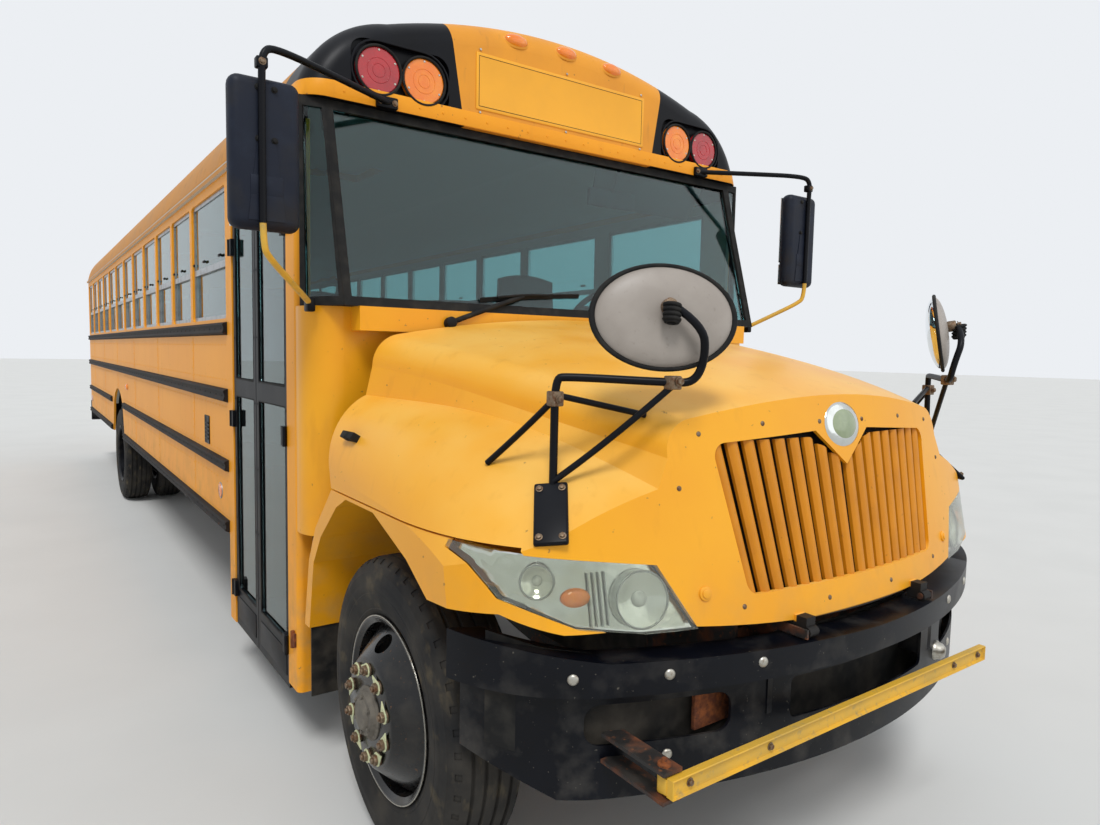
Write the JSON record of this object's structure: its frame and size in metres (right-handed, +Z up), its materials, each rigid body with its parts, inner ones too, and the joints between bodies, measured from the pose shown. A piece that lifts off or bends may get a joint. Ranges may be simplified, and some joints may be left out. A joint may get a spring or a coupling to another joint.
{
  "type": "conventional school bus",
  "caption": "Conventional school bus with a tilting bonnet, folding entrance door, long windowed body, emergency door, roof hatches, stop arm and crossing arm.",
  "frame": {"origin": "on the ground, midway along the bus, on its centre plane", "axes": "+Z up, -Y the front of the bus, +X the driver's side"},
  "size_m": [3.048, 11.6713, 3.1573],
  "materials": {
    "yellow_paint": "glossy school-bus yellow",
    "yellow_side_paint": "satin orange-yellow",
    "roof_paint": "faded satin",
    "black_paint": "satin black",
    "rail_paint": "weathered satin",
    "chassis_steel": "satin",
    "engine_iron": "cast",
    "sheet_metal": "mill finish",
    "aluminium_sash": "anodised",
    "floor_rubber": "ribbed",
    "black_rubber": "matte",
    "tyre_rubber": "matte",
    "seat_vinyl": "grained vinyl",
    "dash_plastic": "grained",
    "window_glass": "tinted",
    "lamp_glass": "cloudy clear",
    "red_lens": "fluted",
    "amber_lens": "fluted",
    "stop_red": "retroreflective"
  },
  "bodies": {
    "bus_body": {"frame_rails": "chassis_steel", "floor": "floor_rubber", "stepwell": "floor_rubber", "side_right": "yellow_side_paint", "side_left": "yellow_side_paint", "roof": "roof_paint", "rear_wall": "yellow_side_paint", "cowl": "yellow_paint", "door_frame": "yellow_side_paint", "front_cap": "yellow_side_paint", "cap_sides": "black_paint", "windscreen_frame": "black_rubber", "windscreen": "window_glass", "window_sashes": "aluminium_sash", "window_glass": "window_glass", "rub_rails": "rail_paint", "red_lamps": "red_lens", "amber_lamps": "amber_lens", "front_bumper": "black_paint", "rear_bumper": "black_paint", "arch_flares": "yellow_paint", "chassis_brackets": "chassis_steel", "front_axle": "chassis_steel", "rear_axle": "chassis_steel", "leaf_springs": "chassis_steel", "engine_block": "engine_iron", "radiator": "sheet_metal", "fuel_tank": "chassis_steel", "exhaust": "sheet_metal", "mud_flaps": "black_rubber", "seats": "seat_vinyl", "seat_frames": "chassis_steel", "dashboard": "dash_plastic", "side_mirrors": "black_paint", "stop_arm_base": "black_paint"},
    "bonnet": {"bonnet": "yellow_paint", "headlamps": "lamp_glass", "grille": "yellow_paint", "crossview_mirrors": "black_paint"},
    "door_leaf_front": {"door_leaf_front": "black_paint", "door_glass_front": "window_glass"},
    "door_leaf_rear": {"door_leaf_rear": "black_paint", "door_glass_rear": "window_glass"},
    "emergency_door": {"emergency_door": "yellow_side_paint", "emergency_door_glass": "window_glass"},
    "roof_hatch_front": {"roof_hatch_front": "roof_paint"},
    "roof_hatch_rear": {"roof_hatch_rear": "roof_paint"},
    "stop_arm": {"stop_arm": "stop_red"},
    "crossing_arm": {"crossing_arm": "yellow_paint"},
    "steering_wheel": {"steering_wheel": "black_rubber"},
    "knuckle_left": {"knuckle_left": "chassis_steel"},
    "knuckle_right": {"knuckle_right": "chassis_steel"},
    "front_wheel_left": {"front_wheel_left": "black_paint", "front_tyre_left": "tyre_rubber"},
    "front_wheel_right": {"front_wheel_right": "black_paint", "front_tyre_right": "tyre_rubber"},
    "rear_wheels_left": {"rear_wheels_left": "black_paint", "rear_tyres_left": "tyre_rubber"},
    "rear_wheels_right": {"rear_wheels_right": "black_paint", "rear_tyres_right": "tyre_rubber"}
  },
  "joints": [
    {"name": "bonnet_tilt", "type": "hinge", "parent": "bus_body", "child": "bonnet", "pos_m": [0, -5.74, 0.89], "axis": [1, 0, 0], "range_deg": [0, 60]},
    {"name": "door_front_swing", "type": "hinge", "parent": "bus_body", "child": "door_leaf_front", "pos_m": [-1.2283, -3.926, 1.3], "axis": [0, 0, 1], "range_deg": [0, 90]},
    {"name": "door_rear_swing", "type": "hinge", "parent": "bus_body", "child": "door_leaf_rear", "pos_m": [-1.2283, -3.012, 1.3], "axis": [0, 0, -1], "range_deg": [0, 90]},
    {"name": "emergency_door_swing", "type": "hinge", "parent": "bus_body", "child": "emergency_door", "pos_m": [-0.478, 5.7833, 1.7], "axis": [0, 0, 1], "range_deg": [0, 110]},
    {"name": "hatch_front_tilt", "type": "hinge", "parent": "bus_body", "child": "roof_hatch_front", "pos_m": [0, -1.385, 3.1343], "axis": [1, 0, 0], "range_deg": [0, 70]},
    {"name": "hatch_rear_tilt", "type": "hinge", "parent": "bus_body", "child": "roof_hatch_rear", "pos_m": [0, 2.915, 3.1343], "axis": [1, 0, 0], "range_deg": [0, 70]},
    {"name": "stop_arm_swing", "type": "hinge", "parent": "bus_body", "child": "stop_arm", "pos_m": [1.277, -2.85, 1.575], "axis": [0, 0, -1], "range_deg": [0, 90]},
    {"name": "crossing_arm_swing", "type": "hinge", "parent": "bus_body", "child": "crossing_arm", "pos_m": [-0.87, -5.755, 0.645], "axis": [0, 0, -1], "range_deg": [0, 90]},
    {"name": "steer_left", "type": "hinge", "parent": "bus_body", "child": "knuckle_left", "pos_m": [0.905, -4.755, 0.4895], "axis": [0, 0, 1], "range_deg": [-35, 35]},
    {"name": "steer_right", "type": "hinge", "parent": "bus_body", "child": "knuckle_right", "pos_m": [-0.905, -4.755, 0.4895], "axis": [0, 0, 1], "range_deg": [-35, 35]},
    {"name": "steering_wheel_turn", "type": "hinge", "parent": "bus_body", "child": "steering_wheel", "pos_m": [0.64, -3.675, 1.9], "axis": [0, 0.5736, 0.8192], "range_deg": [-560, 560]},
    {"name": "front_spin_left", "type": "hinge", "parent": "knuckle_left", "child": "front_wheel_left", "pos_m": [1.032, -4.755, 0.4895], "axis": [1, 0, 0], "continuous": true},
    {"name": "front_spin_right", "type": "hinge", "parent": "knuckle_right", "child": "front_wheel_right", "pos_m": [-1.032, -4.755, 0.4895], "axis": [1, 0, 0], "continuous": true},
    {"name": "rear_spin_left", "type": "hinge", "parent": "bus_body", "child": "rear_wheels_left", "pos_m": [0.9275, 2.255, 0.4895], "axis": [1, 0, 0], "continuous": true},
    {"name": "rear_spin_right", "type": "hinge", "parent": "bus_body", "child": "rear_wheels_right", "pos_m": [-0.9275, 2.255, 0.4895], "axis": [1, 0, 0], "continuous": true}
  ],
  "couplings": [
    {"joint": "door_rear_swing", "follows": "door_front_swing", "ratio": 1},
    {"joint": "steer_right", "follows": "steer_left", "ratio": 1},
    {"joint": "steering_wheel_turn", "follows": "steer_left", "ratio": 16}
  ]
}
